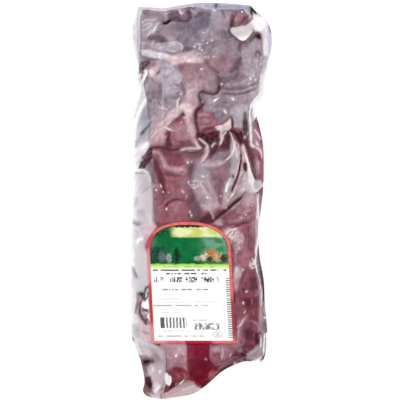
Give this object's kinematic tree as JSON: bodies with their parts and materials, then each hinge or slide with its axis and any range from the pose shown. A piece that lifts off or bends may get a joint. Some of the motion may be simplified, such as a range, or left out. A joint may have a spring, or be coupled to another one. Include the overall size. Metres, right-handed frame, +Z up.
{
  "type": "vacuum-packed boneless venison loin",
  "caption": "Boneless venison loin shrunk tight in a clear vacuum bag, lying flat with an arched paper label stuck on its upper face.",
  "frame": {"origin": "on the table under the middle of the pack's box", "axes": "+Y along the pack from its foot to its top, +X across it to the label's right, +Z up from the table"},
  "size_m": [0.1384, 0.3812, 0.0369],
  "materials": {
    "film_over_meat": "clear shrunk film drawn over dark mauve and red raw meat, wet look with sharp small glints",
    "label_paper": "smooth printed paper, half matt, coral red border, green field above a white panel",
    "raw_venison": "wet raw venison, dark red with grey-mauve silver skin and cream fat",
    "bag_film": "clear shrunk vacuum film, slightly milky where it is folded"
  },
  "bodies": {
    "root": {"packed_loin": "film_over_meat", "label": "label_paper"}
  },
  "joints": []
}
